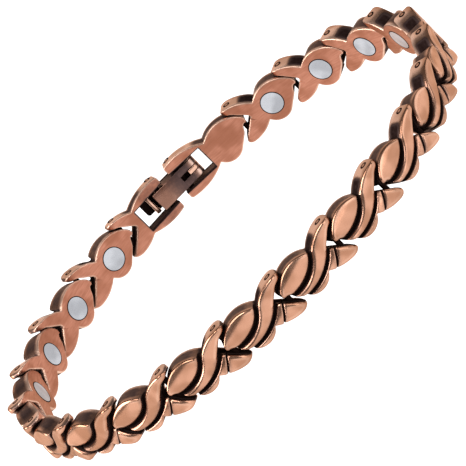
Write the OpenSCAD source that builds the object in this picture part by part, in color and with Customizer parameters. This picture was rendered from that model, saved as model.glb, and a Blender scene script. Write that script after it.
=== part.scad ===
// Magnetic link bracelet, closed and lying on its lower rim, clasp at the back.
// Equal cast links turn on upright pins. Two end links join in a fold-over clasp.
// Every piece is drawn in the frame of its own span between two pins: X runs along the band
// from the first pin, Y points out of the loop from the hinge line, and Z runs across the band
// from its middle line.

/* [Band] */
// Number of equal links
link_count = 20; // [16:1:24]
// Distance between the two pins of a link
link_pitch = 8.5; // [8.3:0.1:9.5]
// Height of a link's upper rim above the middle line
rim_rise = 3.1; // [2.95:0.05:3.4]
// Depth of a link's lower rim below the middle line
rim_drop = 2.65; // [2.5:0.05:3]
// Distance from the hinge line in to the inner face
inner_depth = 1.3; // [1.1:0.05:1.6]

/* [Link outline] */
// How far the two arms reach back past their pin
arm_back = 1.05; // [0.8:0.05:1.2]
// Radius of the upper arm's top edge
arm_top_r = 5.2; // [4.8:0.1:6]
// Distance of the upper arm's highest point behind its pin
arm_top_back = 0.6; // [0.3:0.05:0.8]
// Radius of the lower arm's bottom edge
arm_low_r = 5.2; // [4.8:0.1:6]
// Depth of the fork ahead of its pin
fork_depth = 1.8; // [1.5:0.05:2]
// Gap between a head and the upper arm above it
upper_gap = 0.4; // [0.36:0.01:0.45]
// Gap between a head and the lower arm below it
lower_gap = 0.65; // [0.5:0.05:0.8]
// Height of the head's crest above the middle line
head_crest = 2.6; // [2.4:0.05:2.65]
// Radius of the head's upper edge
head_top_r = 4; // [3.8:0.1:4.4]
// Distance of the crest behind the head's pin
crest_back = 2.8; // [2.6:0.05:3]
// Radius of the head's round belly
belly_r = 2.05; // [1.9:0.05:2.2]
// Distance of the belly's middle behind the head's pin
belly_back = 3.5; // [3.3:0.05:3.7]
// How far the head's tip reaches past its pin
head_reach = 0.55; // [0.5:0.05:0.65]
// Height of the tip's lower corner above the middle line
tip_low = 0.2; // [0:0.05:0.3]

/* [Relief] */
// Height of the grooves' floor outside the hinge line
ground_height = 0.55; // [0.5:0.05:0.7]
// Height of the upper leaf's crown outside the hinge line
leaf_height = 1.45; // [1:0.05:1.6]
// Height of the ribbon's crown outside the hinge line
ribbon_height = 1.5; // [1:0.05:1.6]
// Height of the crescent's crown outside the hinge line
crescent_height = 1.25; // [0.8:0.05:1.4]
// Height of the lower leaf's crown outside the hinge line
low_leaf_height = 1.35; // [0.9:0.05:1.5]
// Radius of the upper leaf's lower edge
leaf_low_r = 3.9; // [3.6:0.1:4.2]
// Depth of the upper leaf's lower edge below the middle line
leaf_low = 0.35; // [0.2:0.05:0.5]
// Distance of that edge's lowest point behind the head's pin
leaf_low_back = 1.5; // [1.3:0.1:1.8]
// Width of the groove between the upper leaf and the ribbon
leaf_groove = 0.45; // [0.3:0.05:0.6]
// Radius of the ribbon's lower edge
ribbon_low_r = 5.5; // [5.2:0.1:6]
// Depth of the ribbon's lower edge below the middle line
ribbon_low = 1.6; // [1.4:0.05:1.7]
// Distance of that edge's lowest point behind the head's pin
ribbon_low_back = 2.6; // [2.4:0.1:2.8]
// Width of the groove between the ribbon and the crescent
ribbon_groove = 0.4; // [0.3:0.05:0.5]
// Width of the groove between the lower leaf and the crescent
leaf_split = 0.25; // [0.2:0.05:0.4]
// Roundness of the upper leaf, as the radius of its crown
leaf_crown_r = 2.6; // [2.4:0.1:4]
// Slope of the upper leaf's crown across the link, in degrees
leaf_crown_turn = -16; // [-25:1:-5]
// Roundness of the ribbon, as the radius of its crown
ribbon_crown_r = 2.6; // [2.4:0.1:4]
// Slope of the ribbon's crown across the link, in degrees
ribbon_crown_turn = -29; // [-35:1:-25]
// Roundness of the crescent, as the radius of its crown
crescent_crown_r = 2.4; // [2:0.1:4]
// Slope of the crescent's crown across the link, in degrees
crescent_crown_turn = -5; // [-10:1:5]
// Roundness of the lower leaf, as the radius of its crown
low_leaf_crown_r = 2.5; // [2:0.1:4]
// Slope of the lower leaf's crown across the link, in degrees
low_leaf_crown_turn = 22; // [10:1:30]

/* [Magnets and pins] */
// Diameter of a magnet
magnet_d = 2.85; // [2.4:0.05:3]
// Thickness of a magnet
magnet_thick = 0.95; // [0.7:0.05:1]
// Distance of a magnet's middle behind the head's pin
magnet_back = 3.57; // [3.4:0.01:3.7]
// Gap all round a magnet in its pocket
magnet_gap = 0.08; // [0.04:0.01:0.12]
// Diameter of every hinge pin
pin_d = 0.7; // [0.6:0.05:0.8]
// Gap all round a pin in its bore
pin_gap = 0.05; // [0.03:0.01:0.08]
// How far a pin's top sits below the rim it is seen in
pin_recess = 0.08; // [0.05:0.01:0.15]
// Metal left below a pin's foot in the lower arm
pin_floor = 0.3; // [0.2:0.05:0.4]

/* [End links] */
// Distance between the two pins of the end link with the drop-shaped head
end_a_span = 10.2; // [9.9:0.1:10.8]
// Distance between the two pins of the other end link
end_b_span = 6.75; // [6.6:0.05:7.2]
// Height of an end link's clasp fork above the middle line
fork_rise = 3.15; // [3:0.05:3.4]
// Radius of a clasp fork's upper edge
fork_top_r = 7; // [6.5:0.1:8]
// Radius of a clasp fork's lower edge
fork_low_r = 8; // [7.5:0.1:9]
// How far a clasp fork reaches past its pin
fork_reach = 0.85; // [0.8:0.05:1]
// Width of the slot in a clasp fork
slot_width = 3.3; // [3.2:0.05:3.6]
// Height of the slot's middle above the middle line
slot_middle = 0.15; // [0:0.05:0.3]
// Depth of the slot behind the pin
slot_depth = 4.05; // [4:0.05:4.2]
// Height of an end link's crown outside the hinge line
end_height = 1.3; // [1:0.05:1.4]
// Roundness of an end link and of the cover across the band, as the radius of their crown
end_crown_r = 6; // [5:0.5:12]

/* [Clasp] */
// Distance between the two clasp pins
clasp_span = 3.35; // [3.2:0.05:3.5]
// Thickness of the clasp's sheet metal
sheet = 0.3; // [0.25:0.01:0.35]
// Width of the blade and the cover
blade_width = 2.6; // [2.4:0.05:2.7]
// Distance from the hinge line in to the blade's inner face
blade_depth = 1.15; // [1.1:0.01:1.2]
// How far the blade reaches back past its pin
blade_back = 1; // [0.8:0.05:1.1]
// Height of the blade's side flanges outside the hinge line
flange_height = 0.65; // [0.55:0.01:0.7]
// Distance of the cover's pin past the held clasp pin
cover_pin_ahead = 1.75; // [1.7:0.01:1.9]
// Diameter of the cover's pin
cover_pin_d = 0.6; // [0.5:0.05:0.7]
// Radius of the rolled end round the cover's pin
knuckle_r = 0.9; // [0.8:0.01:0.92]
// Width of the cover's middle knuckle
knuckle_width = 0.6; // [0.5:0.05:0.7]
// Gap on each side of the middle knuckle
knuckle_gap = 0.08; // [0.05:0.01:0.12]
// How far the curled tongue reaches back from the cover's pin
tongue_back = 0.8; // [0.6:0.05:0.85]
// Distance from the blade's slot end to the cover's pin
slot_back = 2; // [1.6:0.05:2.2]
// Gap between the blade's flanges and the cover
cover_gap = 0.25; // [0.2:0.01:0.3]
// Height of the cover's crown outside the hinge line
cover_height = 1.3; // [1.25:0.01:1.5]
// Gap between the blade's end and the cover's catch
catch_gap = 0.35; // [0.25:0.05:0.4]
// Thickness of the catch along the band
catch_thick = 0.65; // [0.5:0.05:0.7]
// How far the catch reaches in past the hinge line
catch_depth = 0.05; // [0:0.01:0.1]
// Length of the thumb tab beyond the catch
tab_length = 1.05; // [0.9:0.05:1.1]
// Width of the thumb tab
tab_width = 2.05; // [1.8:0.05:2.2]
// Corner radius of the thumb tab
tab_corner = 0.4; // [0.3:0.05:0.5]

/* [Hidden] */
$fn = 96;
function two_digits(i) = str(i < 10 ? "0" : "", i);
function link_name(i) = str("link_", two_digits(i));
function magnet_name(i) = str("magnet_", two_digits(i));
copper = [0.72, 0.46, 0.36];
dark_copper = [0.38, 0.27, 0.23];
magnet_grey = [0.76, 0.77, 0.80];
// Cuts run this far past the faces they open
over = 0.5;

// The loop as it lies: distance of the hinge line from the middle, every 30 degrees from +X
loop_radii = [32.7, 32.4, 29.7, 27.7, 28.4, 31.3, 32.5, 31.6, 29.2, 27.4, 27.7, 30.9];
// Direction of the first clasp pin from the middle
clasp_direction = 98.5;

// The closed hinge line. The loop's form is scaled until spans of the real lengths, stepped
// clockwise from pin to pin, close it exactly.
spans = concat([end_a_span], [for (i = [1 : link_count]) link_pitch], [end_b_span, clasp_span]);
function cubic(p, t) = 0.5 * (2 * p[1] + (p[2] - p[0]) * t
    + (2 * p[0] - 5 * p[1] + 4 * p[2] - p[3]) * t * t
    + (3 * p[1] - p[0] - 3 * p[2] + p[3]) * t * t * t);
full_turn = 360;
function loop_radius(a) =
    let (n = len(loop_radii), s = (a / full_turn - floor(a / full_turn)) * n, i = floor(s))
    cubic([for (k = [-1 : 2]) loop_radii[(i + k + n) % n]], s - i);
function loop_point(a, size) = size * loop_radius(a) * [cos(a), sin(a)];
// The direction, clockwise of a, at which the loop is one span away, found by halving
function step(a, span, size, near = 0, far = 60, n = 22) =
    n == 0 ? a - (near + far) / 2
    : let (mid = (near + far) / 2)
        norm(loop_point(a - mid, size) - loop_point(a, size)) < span
            ? step(a, span, size, mid, far, n - 1)
            : step(a, span, size, near, mid, n - 1);
function walk(size, i = 0, a = clasp_direction) =
    i == len(spans) ? [a] : concat([a], walk(size, i + 1, step(a, spans[i], size)));
function overrun(size) = let (w = walk(size)) clasp_direction - w[len(w) - 1] - full_turn;
// Secant steps to the size at which the walk comes back to its start
function closing_size(s0, f0, s1, f1, n = 8) =
    n == 0 || abs(f1) < 0.00001 ? s1
    : let (s2 = s1 - f1 * (s1 - s0) / (f1 - f0)) closing_size(s1, f1, s2, overrun(s2), n - 1);
guess = 1;
nudge = 1.02;
loop_size = closing_size(guess, overrun(guess), nudge, overrun(nudge));
raw_pins = [for (a = walk(loop_size)) loop_point(a, loop_size)];
pin_x = [for (p = raw_pins) p[0]];
pin_y = [for (p = raw_pins) p[1]];
loop_middle = [max(pin_x) + min(pin_x), max(pin_y) + min(pin_y)] / 2;
pins = [for (p = raw_pins) p - loop_middle];
span_a = 0;
span_b = link_count + 1;
span_clasp = link_count + 2;

// Puts a piece in the frame of span i
module on_span(i) {
    way = pins[i + 1] - pins[i];
    translate([pins[i][0], pins[i][1], rim_drop]) rotate([0, 0, atan2(way[1], way[0])]) children();
}

// A flat outline in X and Z made solid between two heights outside the hinge line
module slab(low, high) {
    translate([0, high, 0]) rotate([90, 0, 0]) linear_extrude(high - low) children();
}

// An upright bore or pin from one height to another
module upright(d, low, high) {
    translate([0, 0, low]) cylinder(d = d, h = high - low);
}

// Half plane on the left of the way from point p to point q, as far as a link can reach
module left_of(p, q) {
    way = q - p;
    reach = 3 * link_pitch;
    translate(p) rotate(atan2(way[1], way[0])) translate([-reach, 0]) square([2 * reach, reach]);
}

// The head, with its pin at the origin
belly = [-belly_back, belly_r - rim_drop];
crest = [-crest_back, head_crest - head_top_r];
tip = [head_reach, tip_low];
tip_to_belly = norm(tip - belly);
under_angle = atan2(tip[1] - belly[1], tip[0] - belly[0]) + asin(belly_r / tip_to_belly);
under_way = [cos(under_angle), sin(under_angle)];
under_normal = [under_way[1], -under_way[0]];
under_foot = tip - under_way * sqrt(tip_to_belly * tip_to_belly - belly_r * belly_r);

module head_outline() {
    translate(belly) circle(r = belly_r);
    intersection() {
        translate(crest) circle(r = head_top_r);
        polygon([
            belly, under_foot, tip, [tip[0], head_crest + over],
            [belly[0] - belly_r, head_crest + over], [belly[0] - belly_r, belly[1]]
        ]);
    }
}

// Room between the arms for the head of the span before, with the fork's pin at the origin
fork_foot = under_foot + under_normal * lower_gap;
fork_apex = fork_foot + under_way * (fork_depth - fork_foot[0]) / under_way[0];
fork_top_r2 = head_top_r + upper_gap;
fork_shoulder_x = head_reach - upper_gap / 2;
fork_shoulder = [fork_shoulder_x, crest[1] + sqrt(pow(fork_top_r2, 2) - pow(fork_shoulder_x - crest[0], 2))];

module fork_room() {
    intersection() {
        translate(crest) circle(r = fork_top_r2);
        polygon([
            fork_foot, fork_apex, [fork_apex[0], head_crest + over + upper_gap],
            [belly[0], head_crest + over + upper_gap], [belly[0], fork_foot[1]]
        ]);
    }
    polygon([fork_foot, fork_apex, fork_shoulder, [fork_foot[0], fork_shoulder[1]]]);
}

// The two arms as one lens-shaped plate, with their pin at the origin
module arms_outline() {
    intersection() {
        translate([-arm_top_back, rim_rise - arm_top_r]) circle(r = arm_top_r);
        translate([0, arm_low_r - rim_drop]) circle(r = arm_low_r);
        translate([-arm_back, -arm_low_r]) square([2 * arm_low_r, 2 * arm_low_r]);
    }
}

// The fork of an end link at a clasp pin, with the pin at the origin and the link towards +X
module clasp_fork_outline() {
    intersection() {
        translate([fork_reach, fork_rise - fork_top_r]) circle(r = fork_top_r);
        translate([fork_reach, fork_low_r - rim_drop]) circle(r = fork_low_r);
        translate([-fork_reach, -fork_low_r]) square([2 * fork_low_r, 2 * fork_low_r]);
    }
}

module clasp_slot_outline() {
    translate([slot_depth - fork_low_r, slot_middle - slot_width / 2]) square([fork_low_r, slot_width]);
}

// The outline of an equal link, from its arm pin at the origin to its head pin
module link_outline() {
    difference() {
        union() {
            arms_outline();
            translate([link_pitch, 0]) head_outline();
        }
        fork_room();
    }
}

// Edges of the relief, as circles about these middles
leaf_edge = [link_pitch - leaf_low_back, leaf_low_r - leaf_low];
ribbon_edge = [link_pitch - ribbon_low_back, ribbon_low_r - ribbon_low];
// The lower leaf's straight end, from its foot to its top corner
split_foot = [link_pitch / 4, -2 * rim_drop / 3];
split_top = [fork_depth / 2, -lower_gap / 2];
// A field ends inside its groove, this share of the groove's width from its edge
field_share = 0.6;
top_height = max(leaf_height, ribbon_height, crescent_height, low_leaf_height);
// A point on the ridge of each field's crown
leaf_middle = [link_pitch - crest_back, head_crest / 2];
ribbon_middle = [link_pitch / 3, rim_rise / 5];
crescent_middle = [link_pitch / 2, -0.75 * rim_drop];
low_leaf_middle = [0, -0.7 * rim_drop];

// A groove or a field of the relief, cut from a height over the hinge line up past the top
module cut_above(height) {
    slab(height, top_height + over) children();
}

// Cuts a field down to a crown: a long cylinder lying at turn degrees in the face, through middle
module crown_cut(height, middle, turn, crown_r) {
    difference() {
        cut_above(ground_height) children();
        translate([middle[0], height - crown_r, middle[1]]) rotate([0, -turn, 0])
            rotate([0, 90, 0]) cylinder(r = crown_r, h = 6 * link_pitch, center = true);
    }
}

module leaf_groove_outline() {
    difference() {
        translate(leaf_edge) circle(r = leaf_low_r + leaf_groove);
        translate(leaf_edge) circle(r = leaf_low_r);
    }
}

// Everything below the upper arm, where the ribbon's lower edge can be cut free
module below_arm() {
    translate([-link_pitch, -link_pitch]) square([3 * link_pitch, link_pitch + fork_apex[1]]);
}

module ribbon_groove_outline() {
    intersection() {
        difference() {
            translate(ribbon_edge) circle(r = ribbon_low_r + ribbon_groove);
            translate(ribbon_edge) circle(r = ribbon_low_r);
        }
        below_arm();
    }
}

module split_groove_outline() {
    intersection() {
        left_of(split_foot, split_top);
        translate([-leaf_split, 0]) left_of(split_top, split_foot);
        below_arm();
    }
}

module leaf_field() {
    translate(leaf_edge) circle(r = leaf_low_r + field_share * leaf_groove);
}

module crescent_field() {
    difference() {
        below_arm();
        translate(ribbon_edge) circle(r = ribbon_low_r + (1 - field_share) * ribbon_groove);
        translate([-leaf_split * field_share, 0]) left_of(split_foot, split_top);
    }
}

module lower_leaf_field() {
    intersection() {
        below_arm();
        translate([(field_share - 1) * leaf_split, 0]) left_of(split_foot, split_top);
    }
}

module ribbon_field() {
    difference() {
        translate([-link_pitch, -link_pitch]) square(3 * link_pitch);
        translate(leaf_edge) circle(r = leaf_low_r + (1 - field_share) * leaf_groove);
        difference() {
            translate([-2 * link_pitch, -2 * link_pitch]) square([5 * link_pitch, 2 * link_pitch + fork_apex[1]]);
            translate(ribbon_edge) circle(r = ribbon_low_r + field_share * ribbon_groove);
        }
    }
}

bore_d = pin_d + 2 * pin_gap;
pin_foot = pin_floor - rim_drop;

module link_body() {
    difference() {
        slab(-inner_depth, top_height) link_outline();
        cut_above(ground_height) leaf_groove_outline();
        cut_above(ground_height) ribbon_groove_outline();
        cut_above(ground_height) split_groove_outline();
        crown_cut(leaf_height, leaf_middle, leaf_crown_turn, leaf_crown_r) leaf_field();
        crown_cut(ribbon_height, ribbon_middle, ribbon_crown_turn, ribbon_crown_r) ribbon_field();
        crown_cut(crescent_height, crescent_middle, crescent_crown_turn, crescent_crown_r) crescent_field();
        crown_cut(low_leaf_height, low_leaf_middle, low_leaf_crown_turn, low_leaf_crown_r) lower_leaf_field();
        upright(bore_d, pin_foot - pin_gap, rim_rise + over);
        translate([link_pitch, 0, 0]) upright(bore_d, -rim_drop - over, rim_rise + over);
        magnet_pocket();
    }
}

module magnet_pocket() {
    translate([link_pitch - magnet_back, 0, 0])
        rotate([90, 0, 0]) translate([0, 0, inner_depth - magnet_thick - magnet_gap])
            cylinder(d = magnet_d + 2 * magnet_gap, h = magnet_thick + over);
}

module magnet_body() {
    translate([link_pitch - magnet_back, 0, 0])
        rotate([90, 0, 0]) translate([0, 0, inner_depth - magnet_thick])
            cylinder(d = magnet_d, h = magnet_thick);
}

module link(i) {
    color(copper) on_span(i) link_body();
}

module magnet(i) {
    color(magnet_grey) on_span(i) magnet_body();
}

module hinge_pins() {
    color(dark_copper)
        for (i = [1 : link_count + 1])
            on_span(i) upright(pin_d, pin_foot, rim_rise - pin_recess);
}

// An end link's plain outline, crowned outside by a long cylinder along the band
module end_slab(middle) {
    intersection() {
        slab(-inner_depth, end_height) children();
        translate([middle, end_height - end_crown_r, slot_middle]) rotate([0, 90, 0])
            cylinder(r = end_crown_r, h = 4 * end_a_span, center = true);
    }
}

module end_link_a() {
    color(copper) on_span(span_a) difference() {
        end_slab(end_a_span / 2) difference() {
            union() {
                clasp_fork_outline();
                translate([end_a_span, 0]) head_outline();
            }
            clasp_slot_outline();
        }
        upright(bore_d, pin_foot - pin_gap, fork_rise + over);
        translate([end_a_span, 0, 0]) upright(bore_d, -rim_drop - over, rim_rise + over);
    }
}

module end_link_b() {
    color(copper) on_span(span_b) difference() {
        end_slab(end_b_span / 2) difference() {
            union() {
                arms_outline();
                translate([end_b_span, 0]) mirror([1, 0]) clasp_fork_outline();
            }
            fork_room();
            translate([end_b_span, 0]) mirror([1, 0]) clasp_slot_outline();
        }
        upright(bore_d, pin_foot - pin_gap, rim_rise + over);
        translate([end_b_span, 0, 0]) upright(bore_d, pin_foot - pin_gap, fork_rise + over);
    }
}

module clasp_pin_a() {
    color(dark_copper) on_span(span_a) upright(pin_d, pin_foot, fork_rise - 2 * pin_recess);
}

module clasp_pin_b() {
    color(dark_copper) on_span(span_clasp) upright(pin_d, pin_foot, fork_rise - 2 * pin_recess);
}

// The clasp's frame runs from the pin that the blade is fixed on to the pin that it holds.
// Its side views are drawn in X and Y and raised along Z, about the slot's middle.
cover_pin_at = [clasp_span + cover_pin_ahead, knuckle_r - blade_depth];
module across(width) {
    translate([0, 0, slot_middle]) linear_extrude(width, center = true) children();
}

module blade_side() {
    circle(r = flange_height);
    translate(cover_pin_at) circle(r = knuckle_r);
    translate([0, -blade_depth]) square([cover_pin_at[0], blade_depth + flange_height]);
    translate([-blade_back, -blade_depth]) square([blade_back, sheet]);
}

// The side view inside the flanges: what is cut away to leave a floor, rolled up at its end
module blade_inside() {
    translate(cover_pin_at) circle(r = knuckle_r - sheet);
    translate([-blade_back - over, sheet - blade_depth])
        square([blade_back + over + cover_pin_at[0], 2 * knuckle_r + flange_height]);
    translate(cover_pin_at) translate([-knuckle_r, 0]) square([2 * knuckle_r, 2 * knuckle_r]);
}

module clasp_blade() {
    color(dark_copper) on_span(span_clasp) difference() {
        across(blade_width) blade_side();
        across(blade_width - 2 * sheet) blade_inside();
        across(knuckle_width + 2 * knuckle_gap)
            translate([cover_pin_at[0] - slot_back, -blade_depth - over])
                square([slot_back + 2 * knuckle_r, 2 * blade_depth + over]);
        upright(bore_d, -rim_drop, rim_rise);
        translate([clasp_span, 0, 0]) upright(bore_d, -rim_drop, rim_rise);
        translate([clasp_span - bore_d / 2, 0, -rim_drop]) cube([bore_d, 2 * flange_height, 2 * rim_drop]);
        translate([cover_pin_at[0], cover_pin_at[1], 0])
            upright(cover_pin_d + 2 * pin_gap, -rim_drop, rim_rise);
    }
}

cover_low = flange_height + cover_gap;
catch_x = -blade_back - catch_gap;
tab_x = catch_x - catch_thick - tab_length;

// The cover's plate seen from outside, with the thumb tab's rounded corners
module cover_plan() {
    translate([catch_x - catch_thick, slot_middle - blade_width / 2])
        square([cover_pin_at[0] + knuckle_r / 2 - catch_x + catch_thick, blade_width]);
    for (side = [-1, 1])
        translate([tab_x + tab_corner, slot_middle + side * (tab_width / 2 - tab_corner)])
            circle(r = tab_corner);
    translate([tab_x + tab_corner, slot_middle - tab_width / 2])
        square([tab_length, tab_width]);
    translate([tab_x, slot_middle - tab_width / 2 + tab_corner])
        square([tab_length, tab_width - 2 * tab_corner]);
}

// The middle knuckle round the cover's pin, its neck up to the plate and its curled tongue
module knuckle_side() {
    translate(cover_pin_at) circle(r = knuckle_r);
    translate([cover_pin_at[0] - knuckle_r / 2, cover_pin_at[1]])
        square([knuckle_r, cover_low + sheet / 2 - cover_pin_at[1]]);
    translate([cover_pin_at[0] - tongue_back, -blade_depth]) square([tongue_back, sheet]);
}

module clasp_cover() {
    color(copper) on_span(span_clasp) difference() {
        union() {
            intersection() {
                slab(cover_low, cover_height) cover_plan();
                translate([0, cover_height - end_crown_r, slot_middle]) rotate([0, 90, 0])
                    cylinder(r = end_crown_r, h = 4 * end_a_span, center = true);
            }
            across(blade_width) translate([catch_x - catch_thick, 0]) {
                translate([0, catch_thick / 2 - catch_depth])
                    square([catch_thick, cover_low + sheet / 2 - catch_thick / 2 + catch_depth]);
                translate([catch_thick / 2, catch_thick / 2 - catch_depth]) circle(d = catch_thick);
            }
            across(knuckle_width) knuckle_side();
        }
        translate([cover_pin_at[0], cover_pin_at[1], 0])
            upright(cover_pin_d + 2 * pin_gap, -rim_drop, rim_rise);
    }
}

module cover_pin() {
    color(dark_copper) on_span(span_clasp) translate([cover_pin_at[0], cover_pin_at[1], 0])
        upright(cover_pin_d, slot_middle - blade_width / 2, slot_middle + blade_width / 2);
}

for (i = [1 : link_count]) {
    link(i);
    magnet(i);
}
hinge_pins();
end_link_a();
end_link_b();
clasp_pin_a();
clasp_pin_b();
clasp_blade();
clasp_cover();
cover_pin();
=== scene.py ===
"""A magnetic link bracelet, closed and lying on its lower rim: cast copper links on upright pins, a magnet
set into the inside of each, and a fold-over clasp. Local places are in millimetres, (along, out, across)
the band from a pin."""

import bmesh
import bpy
import numpy as np
from mathutils import Matrix


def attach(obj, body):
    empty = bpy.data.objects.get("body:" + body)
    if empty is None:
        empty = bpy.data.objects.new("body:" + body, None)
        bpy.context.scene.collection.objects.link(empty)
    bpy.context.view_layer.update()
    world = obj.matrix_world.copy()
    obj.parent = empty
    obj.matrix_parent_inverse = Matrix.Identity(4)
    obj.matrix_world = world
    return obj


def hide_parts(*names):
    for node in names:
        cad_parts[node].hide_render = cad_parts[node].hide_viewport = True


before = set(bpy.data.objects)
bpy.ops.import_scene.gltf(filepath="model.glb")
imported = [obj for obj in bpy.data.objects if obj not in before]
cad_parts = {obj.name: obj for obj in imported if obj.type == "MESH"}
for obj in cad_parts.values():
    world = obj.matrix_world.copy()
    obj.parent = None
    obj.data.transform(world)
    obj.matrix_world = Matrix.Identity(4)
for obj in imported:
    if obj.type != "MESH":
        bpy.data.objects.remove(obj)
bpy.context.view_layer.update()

# The hinge line, on which every other piece is set out. The upright pins stand where the closed band lies:
# the first is the clasp's held pin, then come the hinge pins, clockwise seen from above, and last the pin
# the blade is fixed on.
pins = np.array([
    [-4.1939, 27.2489], [6.0016, 27.5514], [14.3192, 25.7997], [21.9049, 21.9649],
    [28.0108, 16.0515], [31.638, 8.3643], [32.6176, -0.0791], [30.8451, -8.3922],
    [26.5439, -15.7237], [19.9748, -21.1178], [12.2735, -24.715], [4.0984, -27.0427],
    [-4.3864, -27.5514], [-12.7646, -26.1181], [-20.4445, -22.4753], [-26.7986, -16.8294],
    [-30.9657, -9.421], [-32.6176, -1.083], [-31.4599, 7.3378], [-27.6769, 14.9495],
    [-21.5081, 20.7972], [-13.9391, 24.6651], [-7.4932, 26.6685],
])
middle_line = 2.65


def set_on_span(span, local):
    """Places in the frame, in metres, of local points on the span that starts at a pin: the pin, plus along
    times the way to the next pin, plus out times that way turned a quarter left, with across counted from
    the middle."""
    way = pins[(span + 1) % len(pins)] - pins[span]
    way = way / np.hypot(*way)
    out = np.array([-way[1], way[0]])
    flat = pins[span] + local[:, :1] * way + local[:, 1:2] * out
    return np.column_stack([flat, middle_line + local[:, 2]]) / 1000


# The links. Each is a small casting, copper plated, with two arms that reach back round the head of the
# link before it. A leaf, a ribbon, a crescent and a lower leaf stand up outside, between dark grooves, and
# the inside is brushed.
link_count = 20
inner_face = -1.3
groove_floor = 0.5
arm_end = -1.2
head_end = 9.05

# The outline: arcs, each a middle and a radius, and straight runs with their rise
arm_top_arc = ((-0.6, -2.1), 5.2)
head_top_arc = ((5.7, -1.4), 4.0)
arm_foot_arc = ((0.0, 2.55), 5.2)
head_foot_arc = ((5.0, -0.6), 2.05)
head_foot_end = 6.343
head_corner = 0.2
tip_across = 0.2
run_rise = 0.8675
fork_apex = (1.8, 0.424)
fork_round = 0.22
fork_start = fork_apex[0] - fork_round
fork_arc = ((-2.8, -1.4), 4.4)
fork_arc_end = 0.35
fork_over_rise = 0.8607
tip_round = 0.6
arm_round = 1.3
arm_middle = 0.05
lower_arm_draft = 0.3
outer_round = 0.24
inner_round = 0.16

# The raised fields: the edges of the leaf and the ribbon and the far sides of their grooves are circles.
# The split between the crescent and the lower leaf is straight, and both fields run a little over it
leaf_groove = 0.45
leaf_edge = ((7.0, 3.55), 3.9)
leaf_far = (leaf_edge[0], leaf_edge[1] + leaf_groove)
ribbon_groove = 0.4
ribbon_edge = ((5.9, 3.9), 5.5)
ribbon_far = (ribbon_edge[0], ribbon_edge[1] + ribbon_groove)
split_foot = np.array([2.125, -1.767])
split_out = np.array([-0.7622, -0.6475])
split_width = 0.3
split_overlap = 0.06
groove_flank = 0.13


def over_arc(along, middle, radius):
    """Height of a circle's upper half over along: middle + sqrt(radius^2 - distance^2), level past it."""
    return middle[1] + np.sqrt(np.maximum(radius**2 - (along - middle[0]) ** 2, 0))


def under_arc(along, middle, radius):
    """Height of a circle's lower half over along: middle - sqrt(radius^2 - distance^2), level past it."""
    return middle[1] - np.sqrt(np.maximum(radius**2 - (along - middle[0]) ** 2, 0))


def blended_max(a, b, blend=0.1):
    """The larger of two heights, the crossing filled softly: (a + b + sqrt((a - b)^2 + blend^2)) / 2."""
    return (a + b + np.sqrt((a - b) ** 2 + blend**2)) / 2


def eased(x, low, high):
    """0 below low and 1 above high, with a smooth cubic between: 3 t^2 - 2 t^3."""
    t = np.clip((x - low) / (high - low), 0, 1)
    return t * t * (3 - 2 * t)


def corner_drawn_in(along, first, last, corner):
    """How far an edge draws in at the rounded ends of a plate: corner - sqrt(corner^2 - x^2), x being the
    way into the last corner's length at either end."""
    x = np.clip(np.maximum(first + corner - along, along - last + corner), 0, corner)
    return corner - np.sqrt(corner**2 - x**2)


def rounded_drop(distance, radius):
    """Drop of a surface near an edge that is rounded: radius - sqrt(radius^2 - (radius - distance)^2)."""
    x = radius - np.clip(distance, 0, radius)
    return radius - np.sqrt(radius**2 - x**2)


def crown(points, height, middle, turn, radius):
    """Height of a crown, a long cylinder lying in the face: height - radius + sqrt(radius^2 - distance^2),
    the distance being from the ridge line through middle at turn degrees."""
    side = np.array([-np.sin(np.radians(turn)), np.cos(np.radians(turn))])
    distance = (points - middle) @ side
    return height - radius + np.sqrt(np.maximum(radius**2 - distance**2, 0))


def columns(first, last, step, corner):
    """Places along a plate: even steps, crowding at both ends as 1 - cos over the length of a corner."""
    close = corner * (1 - np.cos(np.linspace(0, np.pi / 2, 6)))
    even = np.linspace(first + corner, last - corner, int(round((last - first - 2 * corner) / step)) + 1)
    return np.concatenate([first + close[:-1], even, last - close[-2::-1]])


def points_on(edge, places):
    """The points of an edge, a height as a function of along, at places along the plate."""
    return np.column_stack([places, edge(places)])


def banded(top, foot, rounds, counts):
    """A grid over a strip of plate, in straight columns from foot to top. Each round, a circle, cuts a
    column at the share (-b + sqrt(b^2 - 4ac)) / 2a of its way down, or at its top where it misses it.
    Between neighbouring cuts run count rows, crowding towards both cuts as (1 - cos) / 2."""
    down = foot - top
    cuts = [np.ones(len(top))]
    for middle, radius in rounds:
        away = top - middle
        a = np.maximum((down**2).sum(1), 1e-12)
        b = 2 * (down * away).sum(1)
        c = (away**2).sum(1) - radius**2
        root = b**2 - 4 * a * c
        cut = (np.sqrt(np.maximum(root, 0)) - b) / (2 * a)
        cuts.append(np.where(root > 0, np.clip(cut, 0, 1), 0))
    cuts = np.stack([*cuts, np.zeros(len(top))])
    band = np.concatenate([[0], np.repeat(np.arange(len(counts)), counts)])
    turns = [np.pi * np.arange(1, count + 1) / count for count in counts]
    share = np.concatenate([[0], *((1 - np.cos(turn)) / 2 for turn in turns)])
    share = share[:, None]
    way_down = (cuts[band] + (cuts[band + 1] - cuts[band]) * share).T
    grid = top[:, None] + down[:, None] * way_down[..., None]
    return grid[..., 0], grid[..., 1]


def joined(points, faces):
    """Makes points that fall together one, and keeps the faces that still have three or four corners. A
    face with three holds one of them twice."""
    _, first, same = np.unique(np.round(points, 4), axis=0, return_index=True, return_inverse=True)
    faces = same.reshape(-1)[faces]
    corners = 1 + (np.diff(np.sort(faces, axis=1), axis=1) > 0).sum(1)
    return points[first], faces[corners >= 3]


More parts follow.
